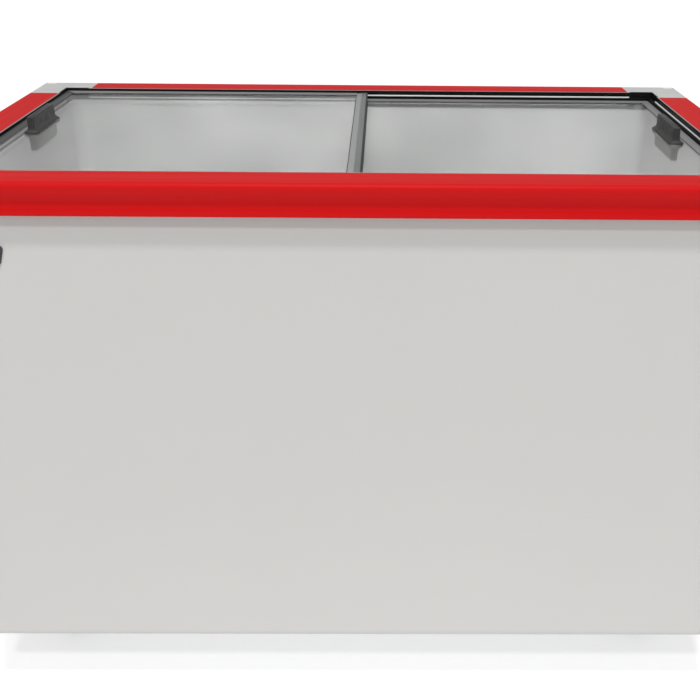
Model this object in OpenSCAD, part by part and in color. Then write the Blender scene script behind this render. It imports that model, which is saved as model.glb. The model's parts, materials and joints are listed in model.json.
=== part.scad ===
// Commercial chest freezer with two flat sliding glass lids, on four swivel castors.
// Millimetres. Origin on the floor below the middle of the rim; +X right, +Y back, +Z up.

/* [Cabinet] */
// Width over the rim
rim_w = 1135; // [1135:5:1200]
// Depth over the rim
rim_d = 635; // [625:5:680]
// Height of the top of the rim above the floor
rim_top = 820; // [820:1:860]
// Height of the cabinet's bottom edge above the floor
base_z = 105; // [100:1:110]
// How far the cabinet's walls stand back from the rim's outermost edge
body_inset = 18.5; // [18.5:0.5:20.5]
// Outside radius of the cabinet's upright edges
body_r = 8; // [6:0.5:12]
// Thickness of the painted steel panels
sheet_t = 1; // [0.8:0.1:1]

/* [Rim] */
// Width of the rim's flat top
rim_b = 52.5; // [52.5:0.5:56]
// Height of the rim's face
rim_face = 44; // [44:0.5:46]
// Wall of the plastic extrusion
rim_wall = 2.5; // [2:0.1:2.5]
// Leg length of the corner caps
cap_leg = 97; // [90:1:110]
// Clear joint between a cap and the extrusion beside it
joint_gap = 0.6; // [0.3:0.1:1]

/* [Track] */
// Wall of the track extrusion
track_wall = 2; // [1.6:0.1:2]
// Leg length of the track's corner pieces
corner_leg = 40; // [36:1:48]
// Height of the slide beads that carry the lids
bead_h = 2; // [1.6:0.1:2]
// Width of the slide beads
bead_w = 2.6; // [2:0.1:2.6]

/* [Tub] */
// Thickness of the liner
liner_t = 1.2; // [1:0.1:1.4]
// Height of the tub's floor above the floor of the room
tub_floor_z = 165; // [160:1:175]
// Left face of the step over the compressor
step_x = 275; // [260:1:280]
// Height of the top of the step above the floor of the room
step_z = 405; // [400:1:415]

/* [Lids] */
// Glass thickness
glass_t = 4; // [4:0.5:4]
// Right edge of the upper lid's meeting profile, from the middle
meet_edge = 13; // [12:0.5:14]
// Length of a lid handle's base
handle_l = 106; // [102:1:108]
// Width of a lid handle's base
handle_w = 24; // [24:0.5:26]
// Height of a lid handle above the glass
handle_h = 24.5; // [22:0.5:26]
// Distance of the handles' centres from the middle
handle_x = 474; // [466:1:476]

/* [Castors] */
// Castor wheel radius
wheel_r = 37.5; // [36:0.5:38]
// Tread width
wheel_w = 24; // [20:1:24]
// Trail of the swivel castor
trail = 32; // [28:1:34]
// Castor swivel axis to the middle, sideways
castor_x = 470; // [440:5:480]
// Castor swivel axis to the middle, front to back
castor_y = 190; // [185:5:205]

/* [Hidden] */
$fn = 64;
fine = 96;
hx = rim_w / 2;                  // rim's outer planes
hy = rim_d / 2;
ix = hx - rim_b;                 // planes of the rim's inner edge, where the track starts
iy = hy - rim_b;
bx = hx - body_inset;            // cabinet's outer faces
by = hy - body_inset;
fx = bx - sheet_t;               // panels' inner faces
fy = by - sheet_t;
panel_top = rim_top - rim_wall - 0.1;

ledge_w = 6;                     // each step of the track
ledge1 = -9;                     // upper ledge below the rim's top
ledge2 = -18;                    // lower ledge
track_s2 = track_wall + ledge_w; // inward distance of the second wall
track_s3 = track_s2 + ledge_w;
seat_q = -23.8;                  // top of the insulation under the track

collar_q = -20.6;                // top of the liner's collar
collar_s = 17.2;                 // its inner face
collar_t = 2;
liner_s = collar_s - collar_t;   // liner's inner face, inward from the rim's inner edge
lx = ix - liner_s;
ly = iy - liner_s;
liner_top = rim_top + seat_q + liner_t;
liner_r = 25;                    // radius of the tub's upright corners
collar_lip = 4.4;                // how far the collar covers the liner
return_l = 14;                   // how far the front and back sheets turn round the corners
rim_round = 6;                   // shoulder of the rim
turn_r = 21;                     // both arcs of the rim's face, below the shoulder
turn_a = 35;                     // how far they lean
turn_q = -rim_round - turn_r * sin(turn_a);
groove_p = turn_r * (1 - 2 * cos(turn_a));
groove_q = -rim_round - 2 * turn_r * sin(turn_a);
lip_p = 2.5;                     // lower lip's distance from the outermost plane
lip_q = -37.5;                   // top of the lower lip
seam = 0.05;                     // step where the two turns of the rim meet
cap_r = 3;                       // upright edge of a corner cap

lid_side = 0.6;                  // side clearance of a lid to its wall
lid_flange = 2.7;                // thickness over the bead
lid_h = 7;
lid_w = 13.4;
lid_step = 5.8;                  // width of the part that rests on the bead
slot_s = 8.4;
slot_q = -1.5;
upper_q = ledge1 + bead_h + 0.3 + lid_flange;
lower_q = ledge2 + bead_h + 0.3 + lid_flange;
upper_x = ix - track_wall - lid_side;
upper_y = iy - track_wall - lid_side;
lower_x = ix - track_s2 - lid_side;
lower_y = iy - track_s2 - lid_side;
foot_t = 3;                      // foot of a handle
meet_w = 18.5;
meet_slot = 12.5;

foam_z = base_z + 1.5;
bay_x = step_x + 42;             // compressor bay in the insulation
bay_z = step_z - 50;
bay_y = 270;
tube_r = 4;
tube_off = 5;
chan = 10;                       // channel for the tubes in the insulation
evap_low = [215, 285, 355];
evap_high = [450, 530, 610, 690];
cond_z = [430, 510, 590, 670];
evap_gap = [-440, -400];
cond_gap = [380, 420];
cond_bend = 16;

drain_x = -380;
drain_y = -120;
drain_bore = 7;
drain_r = drain_bore + 2;
plug_r = 12.7;
brush_h = 1.7;
gland_x = 500;
gland_z = 150;
gland_bore = 4;
gland_r = 8.8;
screw_r = 1.9;
frame_l = 12;                    // overlap of a cover plate on its opening
badge_z = rim_top - 116.6;
knob_y = -225;
knob_z = 250;
grille_y = 35;
grille_z = 235;
grille_l = 300;
grille_h = 180;
cover_x = 400;
cover_z = 240;
cover_w = 140;
cover_h = 200;
comp_x = 432;
comp_y = 90;
comp_r = 74;
comp_h = 168;
foot_z = foam_z + 10;
stub_z = foot_z + 120;
plate_t = 3;
plate_z = base_z - plate_t;
fork_top = plate_z - 6.5;
fork_plate = fork_top - 7.5;
pin_r = 6;
axle_r = 4;
leg_x = 14;
leg_t = 3;

red = [0.82, 0.14, 0.14];
grey = [0.75, 0.75, 0.74];
dark = [0.1, 0.1, 0.1];
steel = [0.82, 0.82, 0.8];
pvc = [0.45, 0.45, 0.45];

// ---------- helpers ----------

module round_rect(w, d, r) {
    square([w - 2 * r, d], center = true);
    square([w, d - 2 * r], center = true);
    for (sx = [-1, 1], sy = [-1, 1])
        translate([sx * (w / 2 - r), sy * (d / 2 - r)])
            circle(r);
}

// A section (inward distance, height) run along one side of the frame, centred on it.
module run_along(side, half_x, half_y, len) {
    if (side == "front")
        translate([-len / 2, -half_y, rim_top])
            rotate([90, 0, 90])
                linear_extrude(len)
                    children();
    if (side == "back")
        mirror([0, 1, 0])
            run_along("front", half_x, half_y, len)
                children();
    if (side == "left")
        rotate([0, 0, -90])
            run_along("front", half_y, half_x, len)
                children();
    if (side == "right")
        mirror([1, 0, 0])
            run_along("left", half_x, half_y, len)
                children();
}

module box(x0, x1, y0, y1, z0, z1) {
    translate([x0, y0, z0])
        cube([x1 - x0, y1 - y0, z1 - z0]);
}

module slot_shape(l, w) {
    square([l - w, w], center = true);
    for (s = [-1, 1])
        translate([s * (l - w) / 2, 0])
            circle(w / 2);
}

// A 2D shape whose first axis runs along +Y and second along +Z, raised t towards +X.
module on_side(x, y, z, t) {
    translate([x, y, z])
        rotate([90, 0, 90])
            linear_extrude(t)
                children();
}

// A 2D shape whose axes run along X and Z, raised t towards the back.
module on_back(x, y, z, t) {
    translate([x, y + t, z])
        rotate([90, 0, 0])
            linear_extrude(t)
                children();
}

module rod(p, q, r) {
    v = q - p;
    l = norm(v);
    translate(p)
        rotate([0, acos(v[2] / l), atan2(v[1], v[0])])
            cylinder(h = l, r = r, $fn = 32);
}

module pipe(pts, r) {
    for (i = [0 : len(pts) - 2])
        rod(pts[i], pts[i + 1], r);
    for (i = [1 : len(pts) - 2])
        translate(pts[i])
            sphere(r, $fn = 32);
}

module castor_corners(side_x, side_y) {
    translate([side_x * castor_x, side_y * castor_y, 0])
        children();
}

// ---------- sheet metal and insulation ----------

module wall_ring() {
    difference() {
        round_rect(2 * bx, 2 * by, body_r);
        round_rect(2 * fx, 2 * fy, body_r - sheet_t);
    }
}

module panel_blank(x0, x1, y0, y1) {
    translate([0, 0, base_z])
        linear_extrude(panel_top - base_z)
            intersection() {
                wall_ring();
                translate([x0, y0])
                    square([x1 - x0, y1 - y0]);
            }
}

module cover_screw_places() {
    for (sx = [-1, 1], sz = [-1, 1])
        translate([cover_x + sx * (cover_w / 2 - 6), by, cover_z + sz * (cover_h / 2 - 6)])
            rotate([-90, 0, 0])
                children();
}

module grille_screw_places() {
    for (sy = [-1, 1], sz = [-1, 1])
        translate([bx, grille_y + sy * (grille_l / 2 - 6), grille_z + sz * (grille_h / 2 - 6)])
            rotate([0, 90, 0])
                children();
}

module screw_hole(r) {
    cylinder(h = 12, r = r, center = true, $fn = 32);
}

module front_panel() {
    color(steel)
    panel_blank(-bx - 1, bx + 1, -by - 1, -by + return_l);
}

module back_panel() {
    color(steel)
    difference() {
        panel_blank(-bx - 1, bx + 1, by - return_l, by + 1);
        box(cover_x - cover_w / 2 + frame_l, cover_x + cover_w / 2 - frame_l, fy - 1, by + 1,
            cover_z - cover_h / 2 + frame_l, cover_z + cover_h / 2 - frame_l);
        translate([gland_x, fy - 1, gland_z])
            rotate([-90, 0, 0])
                cylinder(h = sheet_t + 2, r = gland_r + 0.2);
        cover_screw_places()
            screw_hole(screw_r + 0.1);
    }
}

module left_side_panel() {
    color(steel)
    panel_blank(-bx - 1, -fx + 1, -by + return_l + 0.3, by - return_l - 0.3);
}

module right_side_panel() {
    color(steel)
    difference() {
        panel_blank(fx - 1, bx + 1, -by + return_l + 0.3, by - return_l - 0.3);
        box(fx - 1, bx + 1, grille_y - grille_l / 2 + frame_l, grille_y + grille_l / 2 - frame_l,
            grille_z - grille_h / 2 + frame_l, grille_z + grille_h / 2 - frame_l);
        translate([fx - 1, knob_y, knob_z])
            rotate([0, 90, 0])
                cylinder(h = sheet_t + 2, r = 12);
        grille_screw_places()
            screw_hole(screw_r + 0.1);
    }
}

module base_pan() {
    color(steel)
    difference() {
        translate([0, 0, base_z])
            linear_extrude(foam_z - base_z)
                round_rect(2 * fx, 2 * fy, body_r - sheet_t);
        translate([drain_x, drain_y, base_z - 1])
            cylinder(h = 4, r = drain_r + 0.2);
        for (y = [comp_y - 160, comp_y + 40], k = [-3 : 2])
            translate([comp_x + 11 + 22 * k, y, base_z - 1])
                linear_extrude(4)
                    rotate(90)
                        slot_shape(40, 6);
    }
}

// The tub's inner shape grown by t on every side except its open top.
module tub_shape(t, top) {
    translate([(step_x - lx) / 2, 0, tub_floor_z - t])
        linear_extrude(step_z - tub_floor_z + 10)
            round_rect(lx + step_x + 2 * t, 2 * (ly + t), liner_r + t);
    translate([0, 0, step_z - t])
        linear_extrude(top - step_z + t)
            round_rect(2 * (lx + t), 2 * (ly + t), liner_r + t);
}

module inner_liner() {
    color([0.93, 0.93, 0.93])
    difference() {
        union() {
            tub_shape(liner_t, liner_top);
            translate([0, 0, liner_top - liner_t])
                linear_extrude(liner_t)
                    round_rect(2 * (lx + 9), 2 * (ly + 9), liner_r + 9);
        }
        tub_shape(0, liner_top + 1);
        translate([drain_x, drain_y, tub_floor_z - 3])
            cylinder(h = 6, r = plug_r + 0.3);
    }
}

module liner_collar() {
    color(grey)
    difference() {
        union() {
            translate([0, 0, rim_top + collar_q - collar_t])
                linear_extrude(collar_t)
                    square([2 * (ix - 2), 2 * (iy - 2)], center = true);
            translate([0, 0, rim_top + collar_q - collar_t - collar_lip])
                linear_extrude(collar_lip + 1)
                    round_rect(2 * lx, 2 * ly, liner_r);
        }
        translate([0, 0, rim_top + collar_q - 20])
            linear_extrude(40)
                round_rect(2 * (ix - collar_s), 2 * (iy - collar_s), liner_r - collar_t);
    }
}

module tube_channels(x1, zs) {
    for (z = zs)
        translate([-lx - liner_t - chan, -ly - liner_t - chan, z - chan / 2])
            cube([x1 + lx + 2 * (liner_t + chan), 2 * (ly + liner_t + chan), chan]);
}

module foam_insulation() {
    color([0.9, 0.85, 0.6])
    difference() {
        union() {
            translate([0, 0, foam_z])
                linear_extrude(rim_top + seat_q - foam_z)
                    round_rect(2 * fx, 2 * fy, body_r - sheet_t);
            translate([0, 0, rim_top + seat_q - 1])
                linear_extrude(panel_top - rim_top - seat_q + 1)
                    difference() {
                        round_rect(2 * fx, 2 * fy, body_r - sheet_t);
                        square([2 * (ix + rim_wall), 2 * (iy + rim_wall)], center = true);
                    }
        }
        tub_shape(liner_t, liner_top + 1);
        box(bay_x, bx, -bay_y, by, foam_z - 1, bay_z);
        tube_channels(step_x, evap_low);
        tube_channels(lx, evap_high);
        box(evap_gap[0] - 8, evap_gap[1] + 8, ly, ly + liner_t + chan,
            evap_low[0], evap_high[len(evap_high) - 1]);
        for (z = cond_z)
            translate([0, 0, z - chan / 2])
                linear_extrude(chan)
                    difference() {
                        square([2 * bx, 2 * by], center = true);
                        round_rect(2 * (fx - chan), 2 * (fy - chan), cond_bend - chan / 2);
                    }
        box(cond_gap[0] - 8, cond_gap[1] + 8, fy - chan, by, cond_z[0], cond_z[len(cond_z) - 1]);
        translate([drain_x, drain_y, foam_z - 1])
            cylinder(h = tub_floor_z - foam_z, r = drain_r + 0.2);
        translate([drain_x, drain_y, tub_floor_z - 21])
            cylinder(h = 22, r = 15);
    }
}

// Turns of tube around a block from x0 to x1, half y deep, joined by sloping links at the back.
module tube_turns(x0, x1, y, bend, zs, gap) {
    for (z = zs) {
        rod([x0 + bend, -y, z], [x1 - bend, -y, z], tube_r);
        rod([x0, -y + bend, z], [x0, y - bend, z], tube_r);
        rod([x1, -y + bend, z], [x1, y - bend, z], tube_r);
        rod([x0 + bend, y, z], [gap[0], y, z], tube_r);
        rod([gap[1], y, z], [x1 - bend, y, z], tube_r);
        for (c = [[x0 + bend, -y + bend, 180], [x1 - bend, -y + bend, 270],
                  [x1 - bend, y - bend, 0], [x0 + bend, y - bend, 90]])
            translate([c[0], c[1], z])
                rotate([0, 0, c[2]])
                    rotate_extrude(angle = 90)
                        translate([bend, 0])
                            circle(tube_r, $fn = 32);
        for (x = gap)
            translate([x, y, z])
                sphere(tube_r, $fn = 32);
    }
}

module tube_links(y, zs, gap) {
    for (i = [0 : len(zs) - 2])
        rod([gap[1], y, zs[i]], [gap[0], y, zs[i + 1]], tube_r);
}

module evaporator_tube() {
    off = liner_t + tube_off;
    color([0.8, 0.8, 0.82]) {
        tube_turns(-lx - off, step_x + off, ly + off, liner_r + off, evap_low, evap_gap);
        tube_turns(-lx - off, lx + off, ly + off, liner_r + off, evap_high, evap_gap);
        tube_links(ly + off, concat(evap_low, evap_high), evap_gap);
    }
}

module condenser_tube() {
    color([0.3, 0.3, 0.3]) {
        tube_turns(-fx + tube_off, fx - tube_off, fy - tube_off, cond_bend, cond_z, cond_gap);
        tube_links(fy - tube_off, cond_z, cond_gap);
    }
}

// ---------- rim ----------

// The rim's solid, g inside its surface: (inward distance from the outermost plane, height).
module rim_outline(g) {
    translate([rim_round, -rim_round])
        circle(rim_round - g, $fn = fine);
    translate([rim_round, -rim_round])
        square([rim_b, rim_round - g]);
    intersection() {
        translate([turn_r, -rim_round])
            circle(turn_r - g, $fn = fine);
        translate([0, turn_q])
            square([turn_r, -rim_round - turn_q]);
    }
    translate([turn_r, turn_q])
        square([rim_b, -rim_round - turn_q]);
    difference() {
        translate([lip_p, -rim_face])
            square([rim_b, rim_face + turn_q]);
        translate([groove_p, groove_q])
            circle(turn_r + g - seam, $fn = fine);
    }
    translate([lip_p + g, -rim_face])
        square([rim_b, rim_face + lip_q - g]);
}

module rim_section() {
    difference() {
        intersection() {
            rim_outline(0);
            translate([0, -rim_face])
                square([rim_b, rim_face]);
        }
        difference() {
            rim_outline(rim_wall);
            translate([0, -rim_face])
                square([rim_b, 3]);
        }
        translate([lip_p + rim_wall, -rim_face - 1])
            square([rim_b, 6]);
        translate([body_inset - 0.1, -rim_face - 1])
            square([rim_b, rim_face + 1 - rim_wall]);
    }
    translate([rim_b - rim_wall, -12])
        square([rim_wall, 12]);
}

module rim_profile_long(side) {
    color(red)
    run_along(side, hx, hy, 2 * (hx - cap_leg))
        rim_section();
}

module rim_profile_short(side) {
    color(red)
    run_along(side, hx, hy, 2 * (hy - cap_leg))
        rim_section();
}

// Plan of the two legs of a corner piece, split at the mitre; the corner is at the origin.
module front_leg_plan(leg, w) {
    polygon([[0, 0], [leg, 0], [leg, w], [w, w]]);
}

module left_leg_plan(leg, w) {
    polygon([[0, 0], [w, w], [w, leg], [0, leg]]);
}

module plan_prism(half_x, half_y) {
    translate([-half_x, -half_y, rim_top - 60])
        linear_extrude(80)
            children();
}

module rim_cap() {
    leg = cap_leg - joint_gap;
    intersection() {
        union() {
            intersection() {
                run_along("front", hx, hy, 2 * hx)
                    rim_section();
                plan_prism(hx, hy)
                    front_leg_plan(leg, rim_b);
            }
            intersection() {
                run_along("left", hx, hy, 2 * hy)
                    rim_section();
                plan_prism(hx, hy)
                    left_leg_plan(leg, rim_b);
            }
        }
        plan_prism(hx, hy)
            union() {
                translate([cap_r, 0])
                    square([cap_leg, cap_leg]);
                translate([0, cap_r])
                    square([cap_leg, cap_leg]);
                translate([cap_r, cap_r])
                    circle(cap_r);
            }
    }
    translate([-hx + 16, -hy + 14, rim_top - 1])
        linear_extrude(1.8)
            slot_shape(18, 10);
}

module rim_cap_at(sx, sy) {
    color(grey)
    mirror([sx > 0 ? 1 : 0, 0, 0])
        mirror([0, sy > 0 ? 1 : 0, 0])
            rim_cap();
}

// ---------- track ----------

module track_section(top) {
    w = track_wall;
    polygon([
        [0, top], [w, top], [w, ledge1], [track_s2, ledge1], [track_s2, ledge2],
        [track_s3, ledge2], [track_s3, ledge2 - w], [track_s2 - w, ledge2 - w],
        [track_s2 - w, ledge1 - w], [w - 0.4, ledge1 - w], [w - 0.4, seat_q], [0, seat_q]
    ]);
}

module track_long_rails() {
    color(dark)
    for (side = ["front", "back"])
        run_along(side, ix, iy, 2 * (ix - corner_leg))
            track_section(0);
}

module track_short_rails() {
    color(dark)
    for (side = ["left", "right"])
        run_along(side, ix, iy, 2 * (iy - corner_leg))
            track_section(0);
}

module track_corner() {
    leg = corner_leg - 0.3;
    intersection() {
        run_along("front", ix, iy, 2 * ix)
            track_section(0.6);
        plan_prism(ix, iy)
            front_leg_plan(leg, track_s3);
    }
    intersection() {
        run_along("left", ix, iy, 2 * iy)
            track_section(0.6);
        plan_prism(ix, iy)
            left_leg_plan(leg, track_s3);
    }
}

module track_corners() {
    color(dark)
    for (sx = [0, 1], sy = [0, 1])
        mirror([sx, 0, 0])
            mirror([0, sy, 0])
                track_corner();
}

module bead_section(s, q) {
    intersection() {
        translate([s, q])
            square([bead_w, bead_h]);
        union() {
            translate([s, q - bead_h])
                square([bead_w, 2 * bead_h - bead_w / 2]);
            translate([s + bead_w / 2, q + bead_h - bead_w / 2])
                circle(bead_w / 2, $fn = 32);
        }
    }
}

module slide_beads() {
    color([0.88, 0.88, 0.88])
    for (level = [[track_wall + 0.4, ledge1], [track_s2 + 0.4, ledge2]]) {
        for (side = ["front", "back"])
            run_along(side, ix, iy, 2 * (ix - corner_leg) - 2)
                bead_section(level[0], level[1]);
        for (side = ["left", "right"])
            run_along(side, ix, iy, 2 * (iy - corner_leg) - 2)
                bead_section(level[0], level[1]);
    }
}

// ---------- lids ----------
// Each lid is built with its outer end edge at x = 0 and its meeting edge at x = len,
// its top at z = 0 and its middle on y = 0.

module lid_section() {
    h = lid_h;
    polygon([
        [0, -0.6], [0.6, 0], [7.5, 0], [lid_w, -1], [lid_w, slot_q], [slot_s, slot_q],
        [slot_s, slot_q - glass_t], [lid_w, slot_q - glass_t], [lid_w, -h],
        [lid_step, -h], [lid_step, -lid_flange], [0, -lid_flange]
    ]);
}

module lid_side_profiles(len, half_y) {
    for (m = [0, 1])
        mirror([0, m, 0])
            intersection() {
                translate([0, -half_y, 0])
                    rotate([90, 0, 90])
                        linear_extrude(len - meet_w)
                            lid_section();
                translate([0, -half_y, -20])
                    linear_extrude(40)
                        polygon([[0, 0], [len, 0], [len, lid_w], [lid_w, lid_w]]);
            }
}

module lid_end_profile(half_y) {
    intersection() {
        translate([0, half_y, 0])
            rotate([90, 0, 0])
                linear_extrude(2 * half_y)
                    lid_section();
        translate([0, -half_y, -20])
            linear_extrude(40)
                polygon([
                    [0, 0], [lid_w, lid_w], [lid_w, 2 * half_y - lid_w], [0, 2 * half_y]
                ]);
    }
}

module lid_meeting_profile(len, half_y) {
    h = lid_h;
    difference() {
        translate([len, half_y, 0])
            rotate([90, 0, 0])
                linear_extrude(2 * half_y)
                    polygon([
                        [0, -0.6], [-0.6, 0], [-9, 0], [-meet_w, -1.2], [-meet_w, slot_q],
                        [-meet_slot, slot_q], [-meet_slot, slot_q - glass_t],
                        [-meet_w, slot_q - glass_t], [-meet_w, -h], [0, -h]
                    ]);
        for (m = [0, 1])
            mirror([0, m, 0])
                translate([len - meet_w - 1, half_y - lid_step, -lid_flange - 20])
                    cube([meet_w + 2, lid_step + 1, 20]);
    }
}

module lid_glass(len, half_y) {
    translate([slot_s, -half_y + slot_s, slot_q - glass_t])
        cube([len - slot_s - meet_slot, 2 * (half_y - slot_s), glass_t]);
}

// One face of the handle: a foot, a concave flare and a slightly tapered grip.
module handle_outline(base, top) {
    flare = (base - top) / 2 - 1;
    translate([-base / 2, 0])
        square([base, foot_t]);
    difference() {
        translate([-base / 2, 0])
            square([base, foot_t + flare]);
        for (s = [-1, 1])
            translate([s * (top / 2 + 1 + flare), foot_t + flare])
                circle(flare, $fn = fine);
    }
    difference() {
        polygon([
            [-top / 2 - 1, 1], [top / 2 + 1, 1], [top / 2, handle_h], [-top / 2, handle_h]
        ]);
        for (s = [-1, 1])
            translate([s * (top / 2 - 1.5), handle_h - 1.5])
                difference() {
                    translate([s > 0 ? 0 : -3, 0])
                        square([3, 3]);
                    circle(1.5, $fn = 32);
                }
    }
}

module handle() {
    intersection() {
        translate([0, handle_l / 2, 0])
            rotate([90, 0, 0])
                linear_extrude(handle_l)
                    handle_outline(handle_w, 9);
        translate([-handle_w / 2, 0, 0])
            rotate([90, 0, 90])
                linear_extrude(handle_w)
                    handle_outline(handle_l, handle_l - 8);
        linear_extrude(handle_h + 1)
            round_rect(handle_w, handle_l, 5);
    }
}

module upper_place() {
    translate([-upper_x, 0, rim_top + upper_q])
        children();
}

module lower_place() {
    translate([lower_x, 0, rim_top + lower_q])
        mirror([1, 0, 0])
            children();
}

upper_len = upper_x + meet_edge;
lower_len = lower_x + meet_w - meet_edge;

module upper_lid_glass() {
    color([0.7, 0.75, 0.75, 0.4])
    upper_place()
        lid_glass(upper_len, upper_y);
}

module upper_lid_side_profiles() {
    color(pvc)
    upper_place()
        lid_side_profiles(upper_len, upper_y);
}

module upper_lid_end_profile() {
    color(pvc)
    upper_place()
        lid_end_profile(upper_y);
}

module upper_lid_meeting_profile() {
    color(pvc)
    upper_place()
        lid_meeting_profile(upper_len, upper_y);
}

module upper_lid_brush() {
    color(dark)
    upper_place()
        translate([upper_len - 7, -upper_y + 22, -lid_h - brush_h])
            cube([4, 2 * (upper_y - 22), brush_h]);
}

module upper_lid_handle() {
    color([0.3, 0.3, 0.3])
    translate([-handle_x, 0, rim_top + upper_q + slot_q])
        handle();
}

module lower_lid_glass() {
    color([0.7, 0.75, 0.75, 0.4])
    lower_place()
        lid_glass(lower_len, lower_y);
}

module lower_lid_side_profiles() {
    color(pvc)
    lower_place()
        lid_side_profiles(lower_len, lower_y);
}

module lower_lid_end_profile() {
    color(pvc)
    lower_place()
        lid_end_profile(lower_y);
}

module lower_lid_meeting_profile() {
    color(pvc)
    lower_place()
        lid_meeting_profile(lower_len, lower_y);
}

module lower_lid_handle() {
    color([0.3, 0.3, 0.3])
    translate([handle_x, 0, rim_top + lower_q + slot_q])
        handle();
}

// ---------- vents, controls and fittings ----------

module vent_grille() {
    color(dark)
    difference() {
        on_side(bx, grille_y, grille_z, 2)
            difference() {
                round_rect(grille_l, grille_h, 6);
                for (k = [-5 : 5])
                    translate([0, 13 * k])
                        slot_shape(grille_l - 60, 6);
            }
        grille_screw_places()
            screw_hole(screw_r + 0.1);
    }
}

module service_cover() {
    color(steel)
    difference() {
        on_back(cover_x, by, cover_z, 1.2)
            difference() {
                round_rect(cover_w, cover_h, 4);
                for (k = [-4 : 4])
                    translate([0, 16 * k])
                        slot_shape(cover_w - 50, 6);
            }
        cover_screw_places()
            screw_hole(screw_r + 0.1);
    }
}

module pan_screw(stack) {
    difference() {
        translate([0, 0, stack])
            cylinder(h = 1.8, r = 4, $fn = 32);
        for (a = [0, 90])
            translate([0, 0, stack + 1.8])
                rotate([0, 0, a])
                    cube([4.6, 0.9, 1.6], center = true);
    }
    translate([0, 0, -8])
        cylinder(h = stack + 8, r = screw_r, $fn = 32);
}

module panel_screws() {
    color([0.7, 0.7, 0.7]) {
        cover_screw_places()
            pan_screw(1.2);
        grille_screw_places()
            pan_screw(2);
    }
}

module compressor() {
    rr = 30;
    bottom = foot_z + 3;
    color(dark) {
        difference() {
            translate([comp_x, comp_y, foot_z])
                linear_extrude(3)
                    round_rect(112, 196, 12);
            foot_places()
                cylinder(h = 20, r = 6, center = true, $fn = 32);
        }
        translate([comp_x, comp_y, bottom]) {
            rotate_extrude($fn = fine) {
                square([comp_r - rr, comp_h]);
                translate([0, rr])
                    square([comp_r, comp_h - 2 * rr]);
                translate([comp_r - rr, 0])
                    intersection() {
                        union() {
                            translate([0, rr])
                                circle(rr);
                            translate([0, comp_h - rr])
                                circle(rr);
                        }
                        square([rr, comp_h]);
                    }
            }
            translate([0, 0, comp_h * 0.55])
                cylinder(h = 4, r = comp_r + 3, $fn = fine);
        }
        for (y = [-22, 22])
            rod([comp_x - 60, comp_y + y, stub_z], [comp_x - comp_r - 12, comp_y + y, stub_z], 5);
    }
}

module foot_places() {
    for (sx = [-1, 1], sy = [-1, 1])
        translate([comp_x + sx * 44, comp_y + sy * 84, foot_z])
            children();
}

module compressor_grommets() {
    color([0.15, 0.15, 0.15])
    foot_places() {
        translate([0, 0, foam_z - foot_z])
            cylinder(h = foot_z - foam_z, r = 10, $fn = 32);
        cylinder(h = 3, r = 5.8, $fn = 32);
        translate([0, 0, 3])
            cylinder(h = 3, r = 9, $fn = 32);
    }
}

module relay_cover() {
    color([0.2, 0.2, 0.2])
    difference() {
        box(comp_x + 56, comp_x + 104, comp_y - 32, comp_y + 32, foot_z + 40, foot_z + 88);
        translate([comp_x, comp_y, foot_z])
            cylinder(h = 200, r = comp_r + 3.3, $fn = fine);
    }
}

module refrigerant_pipes() {
    wall = bay_x + 12;
    start = comp_x - comp_r - 12;
    drier_y = -130;
    color([0.72, 0.45, 0.3]) {
        pipe([[start, comp_y - 22, stub_z], [wall, comp_y - 22, stub_z],
              [wall, comp_y - 22, bay_z - 0.3]], 3.5);
        pipe([[start, comp_y + 22, stub_z], [wall + 2, comp_y + 22, stub_z],
              [wall + 2, comp_y + 22, stub_z - 70], [wall + 2, comp_y + 90, stub_z - 70],
              [wall + 2, comp_y + 90, bay_z - 0.3]], 3.5);
        pipe([[wall, drier_y + 70, bay_z - 0.3], [wall, drier_y + 70, 310],
              [wall, drier_y, 310], [wall, drier_y, 270]], 2.5);
        translate([wall, drier_y, 180])
            cylinder(h = 90, r = 9, $fn = 32);
        pipe([[wall, drier_y, 182], [wall, drier_y, 150], [bay_x + 0.3, drier_y, 150]], 1.5);
    }
}

module control_plate() {
    color([0.85, 0.85, 0.85])
    difference() {
        on_side(bx, knob_y, knob_z, 2.5)
            round_rect(70, 92, 8);
        translate([bx - 1, knob_y, knob_z])
            rotate([0, 90, 0])
                cylinder(h = 5, r = 3.06, $fn = 32);
    }
}

module thermostat_knob() {
    color([0.2, 0.2, 0.2])
    translate([bx, knob_y, knob_z])
        rotate([0, 90, 0]) {
            translate([0, 0, 3])
                cylinder(h = 5, r = 19);
            intersection() {
                translate([0, 0, 7])
                    cylinder(h = 6, r = 17);
                translate([-17, -5, 7])
                    cube([34, 10, 6]);
            }
            translate([0, 0, -14])
                cylinder(h = 18, r = 3, $fn = 32);
        }
}

// A blank plate with one slanting end and chamfered corners.
module badge_shape(x0, x1, h, slant, c) {
    polygon([
        [x0 + c, 0], [x1 - slant - c, 0], [x1 - slant, c], [x1 - c / 2, h - c], [x1 - c, h],
        [x0 + c, h], [x0, h - c], [x0, c]
    ]);
}

module badge() {
    color(dark)
    translate([0, -by, badge_z])
        rotate([90, 0, 0])
            difference() {
                linear_extrude(2.4)
                    badge_shape(-536, -440, 27, 7, 4);
                translate([0, 0, 1.8])
                    linear_extrude(2)
                        badge_shape(-533, -444, 21, 6, 3);
            }
}

module cord_gland() {
    color([0.15, 0.15, 0.15])
    translate([gland_x, by, gland_z])
        rotate([-90, 0, 0])
            difference() {
                union() {
                    translate([0, 0, -12])
                        cylinder(h = 13, r = gland_r);
                    cylinder(h = 3, r = 13);
                    translate([0, 0, 3])
                        cylinder(h = 7, r = 9.5, $fn = 6);
                }
                translate([0, 0, -13])
                    cylinder(h = 24, r = gland_bore);
            }
}

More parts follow.
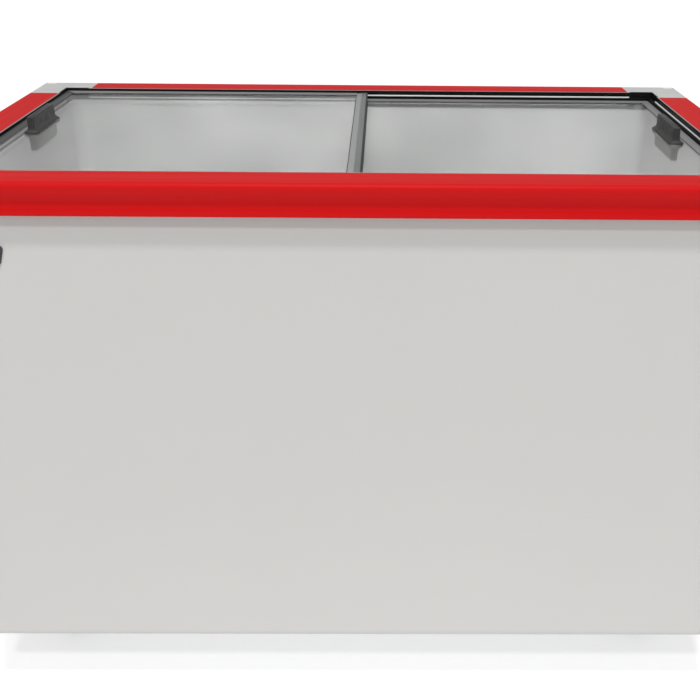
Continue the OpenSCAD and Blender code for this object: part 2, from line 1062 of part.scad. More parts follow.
module drain_tube() {
    color([0.85, 0.85, 0.85])
    translate([drain_x, drain_y, 0])
        difference() {
            union() {
                translate([0, 0, base_z - 9])
                    cylinder(h = tub_floor_z - 21 - base_z + 9 + 1, r = drain_r);
                translate([0, 0, tub_floor_z - 21])
                    cylinder(h = 2.5, r = 14.7);
            }
            translate([0, 0, base_z - 10])
                cylinder(h = 100, r = drain_bore);
        }
}

module drain_plug() {
    color([0.3, 0.3, 0.3])
    translate([drain_x, drain_y, tub_floor_z]) {
        translate([0, 0, -17])
            cylinder(h = 17.5, r = plug_r);
        cylinder(h = 3, r = 18);
        difference() {
            translate([-9, -2, 3])
                cube([18, 4, 9]);
            translate([0, 0, 7.5])
                rotate([90, 0, 0])
                    cylinder(h = 6, r = 2.5, center = true, $fn = 32);
        }
    }
}

// ---------- castors ----------

module castor_plate() {
    translate([0, 0, plate_z])
        linear_extrude(plate_t)
            round_rect(86, 66, 8);
    translate([0, 0, fork_top + 0.3])
        cylinder(h = plate_z - fork_top - 0.2, r = 20);
    translate([0, 0, fork_plate - 0.4])
        cylinder(h = plate_z - fork_plate + 0.4, r = pin_r);
    translate([0, 0, fork_plate - 4.4])
        cylinder(h = 4, r = 10);
    for (sx = [-1, 1], sy = [-1, 1])
        translate([sx * 34, sy * 24, plate_z - 4])
            cylinder(h = 4.1, r = 6.5, $fn = 6);
}

module castor_plates() {
    color([0.7, 0.7, 0.72])
    for (sx = [-1, 1], sy = [-1, 1])
        castor_corners(sx, sy)
            castor_plate();
}

module fork_leg() {
    translate([leg_x, 0, 0])
        rotate([90, 0, 90])
            linear_extrude(leg_t)
                difference() {
                    union() {
                        polygon([
                            [-20, fork_plate + 4], [20, fork_plate + 4], [20, fork_plate - 8],
                            [trail + 10.5, wheel_r + 4], [trail, wheel_r],
                            [trail - 8.5, wheel_r - 7], [-20, fork_plate - 2]
                        ]);
                        translate([trail, wheel_r])
                            circle(11);
                    }
                    translate([trail, wheel_r])
                        circle(axle_r + 0.02, $fn = 32);
                }
}

module castor_fork() {
    color([0.7, 0.7, 0.72])
    difference() {
        union() {
            translate([0, 0, fork_plate])
                linear_extrude(4)
                    square([2 * (leg_x + leg_t), 40], center = true);
            translate([0, 0, fork_plate + 3])
                cylinder(h = fork_top - fork_plate - 3, r = 20);
            fork_leg();
            mirror([1, 0, 0])
                fork_leg();
        }
        translate([0, 0, fork_plate - 1])
            cylinder(h = 12, r = pin_r + 0.06);
    }
}

module castor_axle() {
    color([0.6, 0.6, 0.62])
    translate([0, trail, wheel_r])
        rotate([0, 90, 0]) {
            cylinder(h = 2 * (leg_x + leg_t), r = axle_r, center = true, $fn = 32);
            for (m = [0, 1])
                mirror([0, 0, m])
                    translate([0, 0, leg_x + leg_t])
                        cylinder(h = 3, r = 7, $fn = 6);
        }
}

// Half section of the wheel: radius, then distance along the axle.
module wheel_section() {
    tread = 4;
    translate([axle_r + 0.06, -leg_x + 0.5])
        square([8, 2 * leg_x - 1]);
    translate([11, -5])
        square([wheel_r - 21, 10]);
    translate([wheel_r - 12, -wheel_w / 2])
        square([12 - tread, wheel_w]);
    translate([wheel_r - tread - 1, -wheel_w / 2 + tread])
        square([tread + 1, wheel_w - 2 * tread]);
    for (s = [-1, 1])
        translate([wheel_r - tread, s * (wheel_w / 2 - tread)])
            circle(tread, $fn = 32);
}

module castor_wheel() {
    color([0.35, 0.35, 0.35])
    translate([0, trail, wheel_r])
        rotate([0, 90, 0])
            rotate_extrude($fn = fine)
                wheel_section();
}

// ---------- parts ----------

front_panel();
left_side_panel();
right_side_panel();
back_panel();
base_pan();
foam_insulation();
inner_liner();
liner_collar();
evaporator_tube();
condenser_tube();
rim_profile_long("front");  // rim_profile_front
rim_profile_long("back");  // rim_profile_back
rim_profile_short("left");  // rim_profile_left
rim_profile_short("right");  // rim_profile_right
rim_cap_at(-1, -1);  // rim_cap_front_left
rim_cap_at(1, -1);  // rim_cap_front_right
rim_cap_at(-1, 1);  // rim_cap_back_left
rim_cap_at(1, 1);  // rim_cap_back_right
track_long_rails();
track_short_rails();
track_corners();
slide_beads();
vent_grille();
service_cover();
panel_screws();
compressor();
compressor_grommets();
relay_cover();
refrigerant_pipes();
control_plate();
thermostat_knob();
badge();
cord_gland();
drain_tube();
drain_plug();
upper_lid_glass();
upper_lid_side_profiles();
upper_lid_end_profile();
upper_lid_meeting_profile();
upper_lid_brush();
upper_lid_handle();
lower_lid_glass();
lower_lid_side_profiles();
lower_lid_end_profile();
lower_lid_meeting_profile();
lower_lid_handle();
castor_plates();
castor_corners(-1, -1)  // castor_fork_front_left
        castor_fork();
castor_corners(1, -1)  // castor_fork_front_right
        castor_fork();
castor_corners(-1, 1)  // castor_fork_back_left
        castor_fork();
castor_corners(1, 1)  // castor_fork_back_right
        castor_fork();
castor_corners(-1, -1)  // castor_wheel_front_left
        castor_wheel();
castor_corners(1, -1)  // castor_wheel_front_right
        castor_wheel();
castor_corners(-1, 1)  // castor_wheel_back_left
        castor_wheel();
castor_corners(1, 1)  // castor_wheel_back_right
        castor_wheel();
castor_corners(-1, -1)  // castor_axle_front_left
        castor_axle();
castor_corners(1, -1)  // castor_axle_front_right
        castor_axle();
castor_corners(-1, 1)  // castor_axle_back_left
        castor_axle();
castor_corners(1, 1)  // castor_axle_back_right
        castor_axle();
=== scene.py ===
import json
import math

import bmesh
import bpy
from mathutils import Matrix, Vector

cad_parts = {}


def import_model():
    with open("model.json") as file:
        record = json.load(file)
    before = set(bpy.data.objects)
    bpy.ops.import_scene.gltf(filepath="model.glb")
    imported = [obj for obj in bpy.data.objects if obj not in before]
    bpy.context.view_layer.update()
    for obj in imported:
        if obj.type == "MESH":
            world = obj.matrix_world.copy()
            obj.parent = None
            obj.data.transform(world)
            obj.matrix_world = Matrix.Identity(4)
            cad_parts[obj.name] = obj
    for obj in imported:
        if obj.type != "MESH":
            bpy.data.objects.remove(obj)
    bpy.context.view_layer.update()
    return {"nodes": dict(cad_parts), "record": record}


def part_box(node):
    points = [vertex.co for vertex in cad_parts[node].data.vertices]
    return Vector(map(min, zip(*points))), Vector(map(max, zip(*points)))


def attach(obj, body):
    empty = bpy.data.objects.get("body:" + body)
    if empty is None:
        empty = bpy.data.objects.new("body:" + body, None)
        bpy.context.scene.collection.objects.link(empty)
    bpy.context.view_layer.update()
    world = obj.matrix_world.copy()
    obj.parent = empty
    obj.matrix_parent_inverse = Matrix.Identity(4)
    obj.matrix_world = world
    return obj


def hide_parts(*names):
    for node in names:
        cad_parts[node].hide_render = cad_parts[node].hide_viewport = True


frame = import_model()
nodes = frame["nodes"]
scene = bpy.context.scene

MM = 0.001
RIM_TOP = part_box("rim_profile_front")[1][2]
SHEET_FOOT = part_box("front_panel")[0][2]
# Where the upper lid's meeting profile changes from its painted-light inner strip to its painted-shade outer
# one.
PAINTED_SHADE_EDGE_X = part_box("upper_lid_meeting_profile")[1][0] - 10.5 * MM

# Stretch of the noise on pieces that are drawn or extruded along one axis.
ALONG_X = (0.03, 1.0, 1.0)
ALONG_Y = (1.0, 0.03, 1.0)
ALONG_Z = (1.0, 1.0, 0.03)


# ---------- shader nodes ----------

def grey(tone):
    return (tone, tone, tone)


def new_node(nt, kind, **values):
    """A shader node with its properties set."""
    n = nt.nodes.new(kind)
    for key, value in values.items():
        setattr(n, key, value)
    return n


def map_range(nt, fac, low, high, start, end):
    """fac from start to end, spread over low to high."""
    n = new_node(nt, "ShaderNodeMapRange")
    nt.links.new(fac, n.inputs["Value"])
    for key, value in (("From Min", start), ("From Max", end), ("To Min", low), ("To Max", high)):
        n.inputs[key].default_value = value
    return n.outputs["Result"]


def along_axis(nt, coords, axis):
    """One of the three coordinates."""
    n = new_node(nt, "ShaderNodeSeparateXYZ")
    nt.links.new(coords, n.inputs["Vector"])
    return n.outputs[axis]


# ---------- materials ----------

class Mat:
    """One Principled material whose colour, roughness and surface come from noise in object space."""

    def __init__(self, name, color, rough=0.5, metal=0.0, coat=0.0, spec=0.5):
        self.mat = bpy.data.materials.new(name)
        self.mat.use_nodes = True
        self.nt = self.mat.node_tree
        self.bsdf = self.nt.nodes["Principled BSDF"]
        self.out = self.nt.nodes["Material Output"]
        self.color = color
        self.put("Base Color", (*color, 1.0))
        self.put("Roughness", rough)
        self.put("Metallic", metal)
        self.put("Coat Weight", coat)
        self.put("Coat Roughness", 0.15)
        self.put("Specular IOR Level", spec)
        self.coords = self.new("ShaderNodeTexCoord").outputs["Object"]
        self.height = None

    def new(self, kind, **values):
        return new_node(self.nt, kind, **values)

    def put(self, socket, value):
        self.bsdf.inputs[socket].default_value = value

    def link(self, a, b):
        self.nt.links.new(a, b)

    def stretched(self, stretch):
        """Object coordinates scaled by stretch, for streaks along the axis with the smallest number."""
        m = self.new("ShaderNodeMapping")
        self.link(self.coords, m.inputs["Vector"])
        m.inputs["Scale"].default_value = stretch
        return m.outputs["Vector"]

    def noise(self, scale, detail=3.0, stretch=None, distort=0.0):
        n = self.new("ShaderNodeTexNoise")
        self.link(self.stretched(stretch) if stretch else self.coords, n.inputs["Vector"])
        n.inputs["Scale"].default_value = scale
        n.inputs["Detail"].default_value = detail
        n.inputs["Roughness"].default_value = 0.55
        n.inputs["Distortion"].default_value = distort
        return n.outputs["Fac"]

    def cells(self, scale, feature="F1"):
        n = self.new("ShaderNodeTexVoronoi", feature=feature)
        self.link(self.coords, n.inputs["Vector"])
        n.inputs["Scale"].default_value = scale
        return n

    def ranged(self, fac, low, high, start=0.3, end=0.7):
        """fac from start to end, spread over low to high; most noise lies between 0.3 and 0.7."""
        return map_range(self.nt, fac, low, high, start, end)

    def mix(self, fac, a, b):
        n = self.new("ShaderNodeMix", data_type="RGBA")
        self.link(fac, n.inputs["Factor"])
        for socket, value in ((n.inputs["A"], a), (n.inputs["B"], b)):
            if isinstance(value, tuple):
                socket.default_value = (*value, 1.0)
            else:
                self.link(value, socket)
        return n.outputs["Result"]

    def tint(self, fac, other, most=1.0, start=0.0, end=1.0):
        """Blends the colour towards other, by up to most, where fac is high."""
        now = self.bsdf.inputs["Base Color"]
        base = now.links[0].from_socket if now.is_linked else tuple(now.default_value)[:3]
        self.link(self.mix(self.ranged(fac, 0.0, most, start, end), base, other), now)

    def vary(self, scale, amount, **kw):
        """Uneven lightness: the colour times 1 - amount to 1 + amount."""
        dark = tuple(c * (1 - amount) for c in self.color)
        light = tuple(min(1.0, c * (1 + amount)) for c in self.color)
        fac = self.ranged(self.noise(scale, **kw), 0.0, 1.0)
        self.link(self.mix(fac, dark, light), self.bsdf.inputs["Base Color"])

    def roughen(self, scale, low, high, **kw):
        """Uneven gloss: roughness from low to high."""
        self.link(self.ranged(self.noise(scale, **kw), low, high), self.bsdf.inputs["Roughness"])

    def bump(self, fac, depth, strength=1.0):
        """Adds a bump of depth metres, on top of any already there."""
        n = self.new("ShaderNodeBump")
        n.inputs["Strength"].default_value = strength
        n.inputs["Distance"].default_value = depth
        self.link(fac, n.inputs["Height"])
        if self.height:
            self.link(self.height, n.inputs["Normal"])
        self.height = n.outputs["Normal"]
        self.link(self.height, self.bsdf.inputs["Normal"])

    def height_above(self, low, high):
        """0 at low and 1 at high, in metres over the floor."""
        return self.ranged(along_axis(self.nt, self.coords, "Z"), 0.0, 1.0, low, high)


def white_sheet():
    """Painted sheet with orange peel, slight waves and slightly darker over the last few millimetres above
    its foot.
    """
    m = Mat("white_sheet", (0.60, 0.595, 0.58), rough=0.45, spec=0.35)
    m.vary(1.7, 0.012, detail=4.0)
    m.tint(m.height_above(SHEET_FOOT + 7.0 * MM, SHEET_FOOT + 1.0 * MM), (0.45, 0.45, 0.44), most=0.5)
    m.roughen(9.0, 0.40, 0.52)
    m.bump(m.noise(900.0, detail=2.0), 0.00005)
    m.bump(m.noise(4.0, detail=2.0), 0.0006)
    return m.mat


def rim_red(name, stretch):
    """Coloured extrusion with fine die lines."""
    m = Mat(name, (0.60, 0.008, 0.009), rough=0.50, spec=0.07)
    m.vary(5.0, 0.05, stretch=stretch, detail=4.0)
    m.roughen(60.0, 0.42, 0.54, stretch=stretch)
    m.bump(m.noise(420.0, stretch=stretch, detail=2.0), 0.00004)
    return m.mat


def moulded(name, color, rough, grain=1600.0, depth=0.00006, amount=0.05, spec=0.45, top=None):
    """Injection moulded plastic with a fine grain; top is the colour of a painted highlight on whatever
    stands over the rim.
    """
    m = Mat(name, color, rough=rough, spec=spec)
    m.vary(22.0, amount, detail=5.0)
    if top:
        # Painted highlight: lighter where the part stands over the rim.
        m.tint(m.height_above(RIM_TOP + 0.3 * MM, RIM_TOP + 0.6 * MM), top)
    m.roughen(70.0, rough * 0.85, min(0.9, rough * 1.2))
    m.bump(m.noise(grain, detail=1.5), depth)
    return m.mat


def extruded(name, color, rough, stretch, spec=0.45, top=None):
    """Extruded plastic with faint die lines along its length; top is the colour of a painted highlight along
    its top edge.
    """
    m = Mat(name, color, rough=rough, spec=spec)
    m.vary(8.0, 0.06, stretch=stretch, detail=5.0)
    if top:
        # Painted highlight: the topmost fraction of a millimetre is tinted towards top.
        m.tint(m.height_above(RIM_TOP - 0.6 * MM, RIM_TOP - 0.2 * MM), top)
    m.roughen(90.0, rough * 0.8, rough * 1.25, stretch=stretch)
    m.bump(m.noise(600.0, stretch=stretch, detail=2.0), 0.00004)
    return m.mat


def lit_and_shaded_strips(name, color, other, edge, rough, stretch):
    """Extruded plastic with painted light and shade: colour up to edge, a distance along X, and other beyond
    it.
    """
    m = Mat(name, color, rough=rough, spec=0.4)
    m.vary(8.0, 0.06, stretch=stretch, detail=5.0)
    across = along_axis(m.nt, m.coords, "X")
    # Painted shade: beyond edge the colour turns to the darker other.
    m.tint(across, other, start=edge - 0.8 * MM, end=edge + 0.8 * MM)
    m.roughen(90.0, rough * 0.8, rough * 1.25, stretch=stretch)
    m.bump(m.noise(600.0, stretch=stretch, detail=2.0), 0.00004)
    return m.mat


def zinc(name, tone, rough, scale):
    """Zinc-coated steel with a spangle of slightly different crystals."""
    m = Mat(name, (tone, tone * 1.01, tone * 1.03), rough=rough, metal=1.0)
    spangle = m.cells(scale)
    flake = m.new("ShaderNodeSeparateColor")
    m.link(spangle.outputs["Color"], flake.inputs["Color"])
    m.tint(flake.outputs["Red"], (tone * 0.7, tone * 0.71, tone * 0.73), most=0.6)
    m.link(m.ranged(flake.outputs["Green"], rough * 0.75, rough * 1.3, 0.0, 1.0), m.bsdf.inputs["Roughness"])
    m.bump(m.noise(500.0, detail=3.0), 0.00005)
    return m.mat


def drawn_metal(name, color, rough, stretch):
    """Drawn tube or turned steel with fine lines and a dull film."""
    m = Mat(name, color, rough=rough, metal=1.0)
    m.vary(30.0, 0.10, detail=4.0)
    m.tint(m.noise(14.0, detail=5.0), tuple(c * 0.55 for c in color), 0.5, 0.5, 0.75)
    m.roughen(300.0, rough * 0.7, rough * 1.4, stretch=stretch)
    m.bump(m.noise(900.0, stretch=stretch, detail=2.0), 0.00003)
    return m.mat


def enamel(name, color):
    """Sprayed enamel with orange peel and settled dust."""
    rough = 0.32
    m = Mat(name, color, rough=rough, coat=0.2)
    m.vary(12.0, 0.15, detail=5.0)
    m.tint(m.noise(35.0, detail=6.0), (0.20, 0.19, 0.17), 0.30, 0.52, 0.75)
    m.roughen(40.0, rough * 0.8, rough * 1.6)
    m.bump(m.noise(700.0, detail=2.0), 0.00008)
    return m.mat


def rubber(name, color, rough):
    """Dull rubber with a pale bloom."""
    m = Mat(name, color, rough=rough, spec=0.35)
    m.vary(40.0, 0.12, detail=5.0)
    bloom = tuple(min(1.0, c * 2.4 + 0.05) for c in color)
    m.tint(m.noise(60.0, detail=6.0), bloom, 0.35, 0.55, 0.8)
    m.bump(m.noise(1400.0, detail=3.0), 0.0001)
    return m.mat


def liner_white():
    """Coated aluminium liner with an embossed stucco pattern."""
    m = Mat("liner_white", (0.60, 0.60, 0.595), rough=0.38, metal=0.1)
    m.vary(3.0, 0.03, detail=3.0)
    m.bump(m.cells(110.0, feature="SMOOTH_F1").outputs["Distance"], 0.0005, 0.6)
    return m.mat


def foam():
    """Cut polyurethane foam with open cells."""
    m = Mat("foam", (0.80, 0.68, 0.38), rough=0.9, spec=0.2)
    m.vary(18.0, 0.12, detail=5.0)
    m.bump(m.cells(420.0).outputs["Distance"], 0.0006)
    m.bump(m.noise(40.0, detail=5.0), 0.0012)
    return m.mat


def glass():
    """Float glass with faint smears, which lets the lamps through."""
    m = Mat("lid_glass", (0.90, 0.905, 0.90), rough=0.02, spec=0.2)
    m.put("Transmission Weight", 1.0)
    m.put("IOR", 1.5)
    smear = m.noise(7.0, detail=5.0, distort=1.2)
    m.link(m.ranged(smear, 0.012, 0.055, 0.45, 0.75), m.bsdf.inputs["Roughness"])
    m.bump(m.noise(3.0, detail=1.0), 0.0006)
    clear = m.new("ShaderNodeBsdfTransparent")
    clear.inputs["Color"].default_value = (0.86, 0.87, 0.86, 1.0)
    path = m.new("ShaderNodeLightPath")
    both = m.new("ShaderNodeMixShader")
    m.link(path.outputs["Is Shadow Ray"], both.inputs["Fac"])
    m.link(m.bsdf.outputs["BSDF"], both.inputs[1])
    m.link(clear.outputs["BSDF"], both.inputs[2])
    m.link(both.outputs["Shader"], m.out.inputs["Surface"])
    return m.mat


def brush():
    """Upright bristles."""
    m = Mat("brush_black", grey(0.02), rough=0.85, spec=0.2)
    m.vary(900.0, 0.5, stretch=(1.0, 1.0, 0.05), detail=2.0)
    m.bump(m.noise(1500.0, stretch=(1.0, 1.0, 0.03), detail=2.0), 0.0004)
    return m.mat


SLOTS = {
    "white_sheet": white_sheet(),
    "zinc_steel": zinc("zinc_steel", 0.50, 0.42, 60.0),
    "foam": foam(),
    "liner_white": liner_white(),
    "collar_grey": moulded("collar_grey", grey(0.50), 0.45),
    "tube_aluminium": drawn_metal("tube_aluminium", (0.70, 0.70, 0.71), 0.38, ALONG_X),
    "tube_black": enamel("tube_black", grey(0.02)),
    # The corner caps get a painted highlight on their raised top.
    "cap_grey": moulded("cap_grey", (0.58, 0.58, 0.57), 0.42, top=(0.86, 0.86, 0.85)),
    "bead_white": moulded("bead_white", grey(0.72), 0.35),
    "lid_glass": glass(),
    "handle_dark": moulded("handle_dark", grey(0.030), 0.42, grain=1300.0, depth=0.0001, amount=0.12),
    "brush_black": brush(),
    "grille_black": moulded("grille_black", (0.022, 0.022, 0.023), 0.5),
    "screw_zinc": zinc("screw_zinc", 0.62, 0.28, 900.0),
    "compressor_black": enamel("compressor_black", (0.012, 0.012, 0.013)),
    "grommet_rubber": rubber("grommet_rubber", grey(0.02), 0.7),
    "relay_black": moulded("relay_black", (0.025, 0.025, 0.026), 0.5),
    "copper": drawn_metal("copper", (0.72, 0.36, 0.22), 0.32, ALONG_Z),
    "control_grey": moulded("control_grey", grey(0.55), 0.45),
    "knob_black": moulded("knob_black", (0.02, 0.02, 0.021), 0.3),
    "badge_dark": moulded("badge_dark", (0.035, 0.036, 0.04), 0.28, depth=0.00002),
    "gland_black": moulded("gland_black", grey(0.02), 0.45),
    "drain_white": moulded("drain_white", (0.66, 0.66, 0.65), 0.45),
    "plug_rubber": rubber("plug_rubber", grey(0.05), 0.6),
    "castor_zinc": zinc("castor_zinc", 0.60, 0.30, 260.0),
    "axle_steel": drawn_metal("axle_steel", (0.55, 0.55, 0.56), 0.3, ALONG_X),
    "wheel_rubber": rubber("wheel_rubber", (0.075, 0.075, 0.08), 0.62),
}

RED_X = rim_red("rim_red_long", ALONG_X)
RED_Y = rim_red("rim_red_short", ALONG_Y)
# Painted highlight on the black track rails' top edge.
RAIL_TOP_HIGHLIGHT = (0.30, 0.32, 0.32)
LID_X = extruded("lid_grey_long", grey(0.24), 0.34, ALONG_X)
LID_Y = extruded("lid_grey_short", grey(0.24), 0.34, ALONG_Y)

# Nodes whose material is more particular than their slot.
BY_NODE = {
    "rim_profile_front": RED_X,
    "rim_profile_back": RED_X,
    "rim_profile_left": RED_Y,
    "rim_profile_right": RED_Y,
    # Both track rails get a painted highlight along their top edge.
    "track_long_rails": extruded("track_black_long", grey(0.004), 0.45, ALONG_X, spec=0.12, top=RAIL_TOP_HIGHLIGHT),
    "track_short_rails": extruded("track_black_short", grey(0.004), 0.45, ALONG_Y, spec=0.12, top=RAIL_TOP_HIGHLIGHT),
    "track_corners": moulded("track_corner_black", grey(0.006), 0.42, spec=0.15),
    "upper_lid_side_profiles": LID_X,
    "lower_lid_side_profiles": LID_X,
    # The upper lid's end profile is a darker copy of the lid grey: painted shade.
    "upper_lid_end_profile": extruded("lid_short_painted_shade", grey(0.055), 0.34, ALONG_Y),
    "lower_lid_end_profile": LID_Y,
    # Painted light on the meeting profile's inner strip and painted shade on its outer strip.
    "upper_lid_meeting_profile": lit_and_shaded_strips(
        "meeting_grey", (0.30, 0.305, 0.305), (0.155, 0.16, 0.16), PAINTED_SHADE_EDGE_X, 0.36, ALONG_Y),
    "lower_lid_meeting_profile": LID_Y,
}

for part in frame["record"]["subparts"]:
    mat = BY_NODE.get(part["node"]) or SLOTS[part["material_slot"]]
    for material_slot in nodes[part["node"]].material_slots:
        material_slot.material = mat


# ---------- pieces built here ----------

GASKET = rubber("gasket_black", (0.022, 0.022, 0.023), 0.5)

# Sections of a handle, in millimetres: inset across, inset along, corner radius and height.
HANDLE_FOOT = ((1.4, 1.2, 4.2, 0.0), (0.7, 0.5, 4.6, 0.4), (0.5, 0.3, 4.7, 1.2),
               (0.5, 0.3, 4.7, 2.2), (0.8, 0.6, 4.6, 2.9), (1.6, 1.0, 4.2, 3.4))
# Its concave flare starts at the first section and changes by the second one, on a quarter turn.
FLARE_FROM = (1.9, 1.2, 4.0, 3.6)
FLARE_BY = (4.9, 2.6, -2.5, 6.2)
FLARE_STEPS = 8
# The eased top edge, with its heights counted down from the top.
HANDLE_TOP = ((7.1, 4.1, 1.4, 1.2), (7.25, 4.25, 1.3, 0.5), (7.8, 4.8, 0.9, 0.0))

# Section of the gasket: inwards and up, as shares of its width and height.
GASKET_SECTION = ((0.0, 0.0), (0.0, 0.75), (0.25, 1.0), (0.6, 0.85), (0.9, 0.45), (1.0, 0.0))
GASKET_W = 1.1 * MM
GASKET_H = 0.45 * MM
# How far the lid's profiles reach over its glass, and the meeting profile over its edge of it.
LAP = 5.0 * MM
MEETING_LAP = 6.0 * MM

# Section of the edge seal, in millimetres: outwards from its face and up from the profile's top.
SEAL_SECTION = ((-2.3, -0.1), (-2.1, 0.35), (-0.5, 0.35), (0.0, -0.15), (0.0, -4.4), (-0.3, -4.6))
# Its face stands this far out of the profile, and it stops this far short of the profile's ends.
SEAL_PROUD = 0.25 * MM
SEAL_SHORT = 6.2 * MM

# Steps in each rounded corner of a section.
CORNER_STEPS = 6


def put(name, bm, mat, body, smooth, replaces=()):
    """Adds a mesh piece that rides on a CAD body; edges sharper than smooth degrees stay sharp."""
    bmesh.ops.recalc_face_normals(bm, faces=bm.faces)
    mesh = bpy.data.meshes.new(name)
    bm.to_mesh(mesh)
    bm.free()
    mesh.materials.append(mat)
    for p in mesh.polygons:
        p.use_smooth = True
    mesh.set_sharp_from_angle(angle=math.radians(smooth))
    obj = bpy.data.objects.new(name, mesh)
    scene.collection.objects.link(obj)
    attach(obj, body)
    if replaces:
        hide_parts(*replaces)


def round_rect(half_x, half_y, r):
    """Corner points of a rounded rectangle, anticlockwise."""
    points = []
    for k, (sx, sy) in enumerate(((1, 1), (-1, 1), (-1, -1), (1, -1))):
        for i in range(CORNER_STEPS + 1):
            a = math.radians(90.0 * k + 90.0 * i / CORNER_STEPS)
            points.append((sx * (half_x - r) + r * math.cos(a), sy * (half_y - r) + r * math.sin(a)))
    return points


def loft(bm, rings):
    """Skins rings of points, all with the same number of points, and caps both ends."""
    rows = [[bm.verts.new(p) for p in ring] for ring in rings]
    n = len(rows[0])
    for low, high in zip(rows, rows[1:]):
        for i in range(n):
            bm.faces.new((low[i], low[(i + 1) % n], high[(i + 1) % n], high[i]))
    bm.faces.new(list(reversed(rows[0])))
    bm.faces.new(rows[-1])


def handle(lid):
    """Moulded grip: a rounded foot, a concave flare and a tapered grip with eased edges."""
    lo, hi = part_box(lid + "_handle")
    cx, cy = (lo[0] + hi[0]) / 2, (lo[1] + hi[1]) / 2
    wide, long, tall = (hi[0] - lo[0]) / 2, (hi[1] - lo[1]) / 2, hi[2] - lo[2]
    sections = list(HANDLE_FOOT)
    for i in range(FLARE_STEPS + 1):
        a = math.radians(90.0 * i / FLARE_STEPS)
        share = (math.sin(a), math.sin(a), math.sin(a), 1 - math.cos(a))
        sections.append(tuple(p + q * s for p, q, s in zip(FLARE_FROM, FLARE_BY, share)))
    sections += [(inset_x, inset_y, r, tall / MM - down) for inset_x, inset_y, r, down in HANDLE_TOP]
    rings = []
    for inset_x, inset_y, r, z in sections:
        ring = round_rect(wide - inset_x * MM, long - inset_y * MM, r * MM)
        rings.append([(cx + x, cy + y, lo[2] + z * MM) for x, y in ring])
    bm = bmesh.new()
    loft(bm, rings)
    put(lid + "_grip", bm, SLOTS["handle_dark"], lid, 40, [lid + "_handle"])


def glass_gasket(lid, left, right):
    """Rubber lip on a lid's glass, where the profiles' laps left and right end."""
    lo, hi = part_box(lid + "_glass")
    x0, x1 = lo[0] + left, hi[0] - right
    y0, y1 = lo[1] + LAP, hi[1] - LAP
    bm = bmesh.new()
    rows = []
    for x, y, sx, sy in ((x0, y0, 1, 1), (x1, y0, -1, 1), (x1, y1, -1, -1), (x0, y1, 1, -1)):
        rows.append([bm.verts.new((x + sx * GASKET_W * s, y + sy * GASKET_W * s, hi[2] + GASKET_H * q))
                     for s, q in GASKET_SECTION])
    n = len(GASKET_SECTION)
    for k, a in enumerate(rows):
        b = rows[(k + 1) % len(rows)]
        for i in range(n):
            bm.faces.new((a[i], b[i], b[(i + 1) % n], a[(i + 1) % n]))
    put(lid + "_glass_gasket", bm, GASKET, lid, 50)


def edge_seal():
    """Dark bumper strip along the upper lid's free edge."""
    lo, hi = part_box("upper_lid_meeting_profile")
    face = hi[0] + SEAL_PROUD
    section = [(face + x * MM, hi[2] + z * MM) for x, z in SEAL_SECTION]
    bm = bmesh.new()
    loft(bm, [[(x, y, z) for x, z in section] for y in (lo[1] + SEAL_SHORT, hi[1] - SEAL_SHORT)])
    put("upper_lid_edge_seal", bm, GASKET, "upper_lid", 30)


for lid, left, right in (("upper_lid", LAP, MEETING_LAP), ("lower_lid", MEETING_LAP, LAP)):
    handle(lid)
    glass_gasket(lid, left, right)
edge_seal()


# ---------- floor, light and camera ----------

FLOOR_TONE = 0.74
# Half of the floor's side, in metres.
FLOOR_HALF = 60.0
# The floor's own glow: two rises along Y, each with its start, its end and the glow at both.
FLOOR_GLOW = ((-1.7, -0.6, 0.16, 0.56), (0.8, 4.0, 0.0, 0.14))

# Brightness of the studio's walls by height, from the horizon at 0 to straight up at 1.
WALL_TONES = ((0.0, 0.66), (0.12, 0.56), (0.18, 0.42), (0.30, 0.46), (0.48, 0.36), (1.0, 0.40))
# They grow uneven between these two heights, up to this much lighter and darker.
UNEVEN_FROM = 0.12
UNEVEN_FULL = 0.20
UNEVEN_BY = 0.42

# Both lamps aim just under the front rim. Azimuth 0 is in front of the freezer and 90 on its right.
LAMP_AIM = (0.0, -0.3, 0.75)
LAMP_DISTANCE = 4.5
LAMP_SIZE = (0.5, 0.35)
LAMPS = {
    "key_low": {"azimuth": -4.0, "elevation": 50.0, "power": 56.0},
    "key_high": {"azimuth": 6.0, "elevation": 70.4, "power": 99.0},
}

# The camera's place in metres, its angles in radians and its lens in millimetres.
CAMERA_AT = (0.0409, -1.4942, 1.1668)
CAMERA_YAW = 0.012002
CAMERA_PITCH = 0.411677
CAMERA_ROLL = 0.010249
CAMERA_SHIFT = (-0.0617, -0.0571)
SENSOR_MM = 36.0
LENS_MM = 51.19714


def floor():
    bm = bmesh.new()
    bmesh.ops.create_grid(bm, x_segments=1, y_segments=1, size=FLOOR_HALF)
    mesh = bpy.data.meshes.new("floor")
    bm.to_mesh(mesh)
    bm.free()
    obj = bpy.data.objects.new("floor", mesh)
    scene.collection.objects.link(obj)
    m = Mat("floor", grey(FLOOR_TONE), rough=0.9, spec=0.05)
    m.vary(0.4, 0.01)
    m.put("Emission Color", (1.0, 1.0, 1.0, 1.0))
    along = along_axis(m.nt, m.coords, "Y")
    glow = m.new("ShaderNodeMath", operation="ADD")
    for socket, (start, end, low, high) in zip(glow.inputs, FLOOR_GLOW):
        m.link(m.ranged(along, low, high, start, end), socket)
    m.link(glow.outputs["Value"], m.bsdf.inputs["Emission Strength"])
    mesh.materials.append(m.mat)


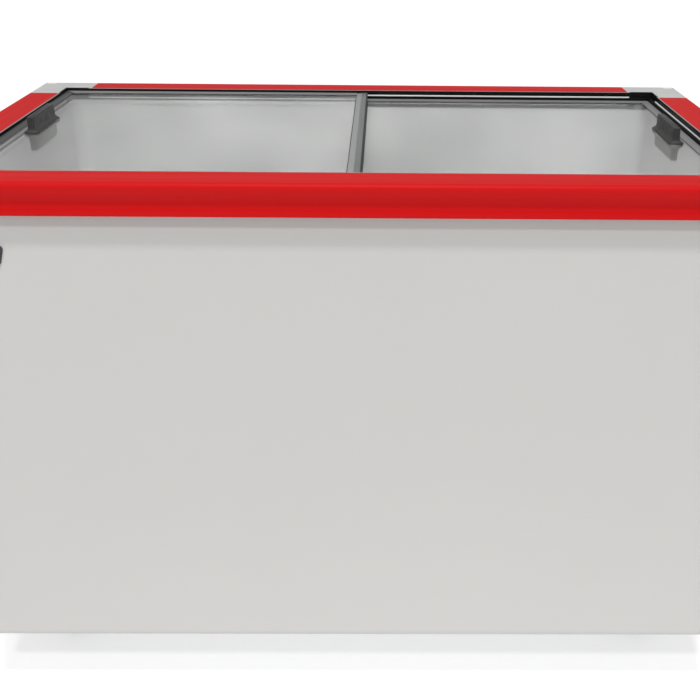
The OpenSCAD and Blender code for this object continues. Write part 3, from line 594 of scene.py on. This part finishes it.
def world():
    """A plain studio: pale low down, dimmer and slightly uneven higher up."""
    w = bpy.data.worlds.new("studio")
    w.use_nodes = True
    nt = w.node_tree
    back = nt.nodes["Background"]
    coords = new_node(nt, "ShaderNodeTexCoord").outputs["Generated"]
    up = along_axis(nt, coords, "Z")
    ramp = new_node(nt, "ShaderNodeValToRGB")
    nt.links.new(up, ramp.inputs["Fac"])
    steps = ramp.color_ramp.elements
    for position, _ in WALL_TONES[1:-1]:
        steps.new(position)
    for step, (_, tone) in zip(steps, WALL_TONES):
        step.color = (*grey(tone), 1.0)
    cloud = new_node(nt, "ShaderNodeTexNoise")
    nt.links.new(coords, cloud.inputs["Vector"])
    cloud.inputs["Scale"].default_value = 7.0
    cloud.inputs["Detail"].default_value = 2.0
    spread = map_range(nt, cloud.outputs["Fac"], -UNEVEN_BY, UNEVEN_BY, 0.3, 0.7)
    rise = map_range(nt, up, 0.0, 1.0, UNEVEN_FROM, UNEVEN_FULL)
    uneven = new_node(nt, "ShaderNodeMath", operation="MULTIPLY_ADD")
    nt.links.new(spread, uneven.inputs[0])
    nt.links.new(rise, uneven.inputs[1])
    uneven.inputs[2].default_value = 1.0
    nt.links.new(ramp.outputs["Color"], back.inputs["Color"])
    nt.links.new(uneven.outputs["Value"], back.inputs["Strength"])
    scene.world = w


def lamp(name, azimuth, elevation, power):
    """An area light that faces LAMP_AIM."""
    a, e = math.radians(azimuth), math.radians(elevation)
    to = Vector((math.sin(a) * math.cos(e), -math.cos(a) * math.cos(e), math.sin(e)))
    data = bpy.data.lights.new(name, "AREA")
    data.shape = "RECTANGLE"
    data.size, data.size_y = LAMP_SIZE
    data.energy = power
    obj = bpy.data.objects.new(name, data)
    scene.collection.objects.link(obj)
    obj.location = Vector(LAMP_AIM) + to * LAMP_DISTANCE
    obj.rotation_euler = (-to).to_track_quat("-Z", "Y").to_euler()


def camera():
    """Stands in front of the freezer, a little right of its middle, and looks down on it."""
    yaw, pitch, roll = CAMERA_YAW, CAMERA_PITCH, CAMERA_ROLL
    ahead = Vector((math.sin(yaw) * math.cos(pitch), math.cos(yaw) * math.cos(pitch), -math.sin(pitch)))
    side = Vector((math.cos(yaw), -math.sin(yaw), 0.0))
    up = side.cross(ahead)
    x = side * math.cos(roll) + up * math.sin(roll)
    y = up * math.cos(roll) - side * math.sin(roll)
    data = bpy.data.cameras.new("camera")
    data.sensor_width = SENSOR_MM
    data.lens = LENS_MM
    data.shift_x, data.shift_y = CAMERA_SHIFT
    data.clip_start = 0.05
    data.clip_end = 200.0
    obj = bpy.data.objects.new("camera", data)
    scene.collection.objects.link(obj)
    m = Matrix((x, y, -ahead)).transposed().to_4x4()
    m.translation = Vector(CAMERA_AT)
    obj.matrix_world = m
    scene.camera = obj


floor()
world()
for name, settings in LAMPS.items():
    lamp(name, **settings)
camera()
scene.view_settings.view_transform = "Standard"
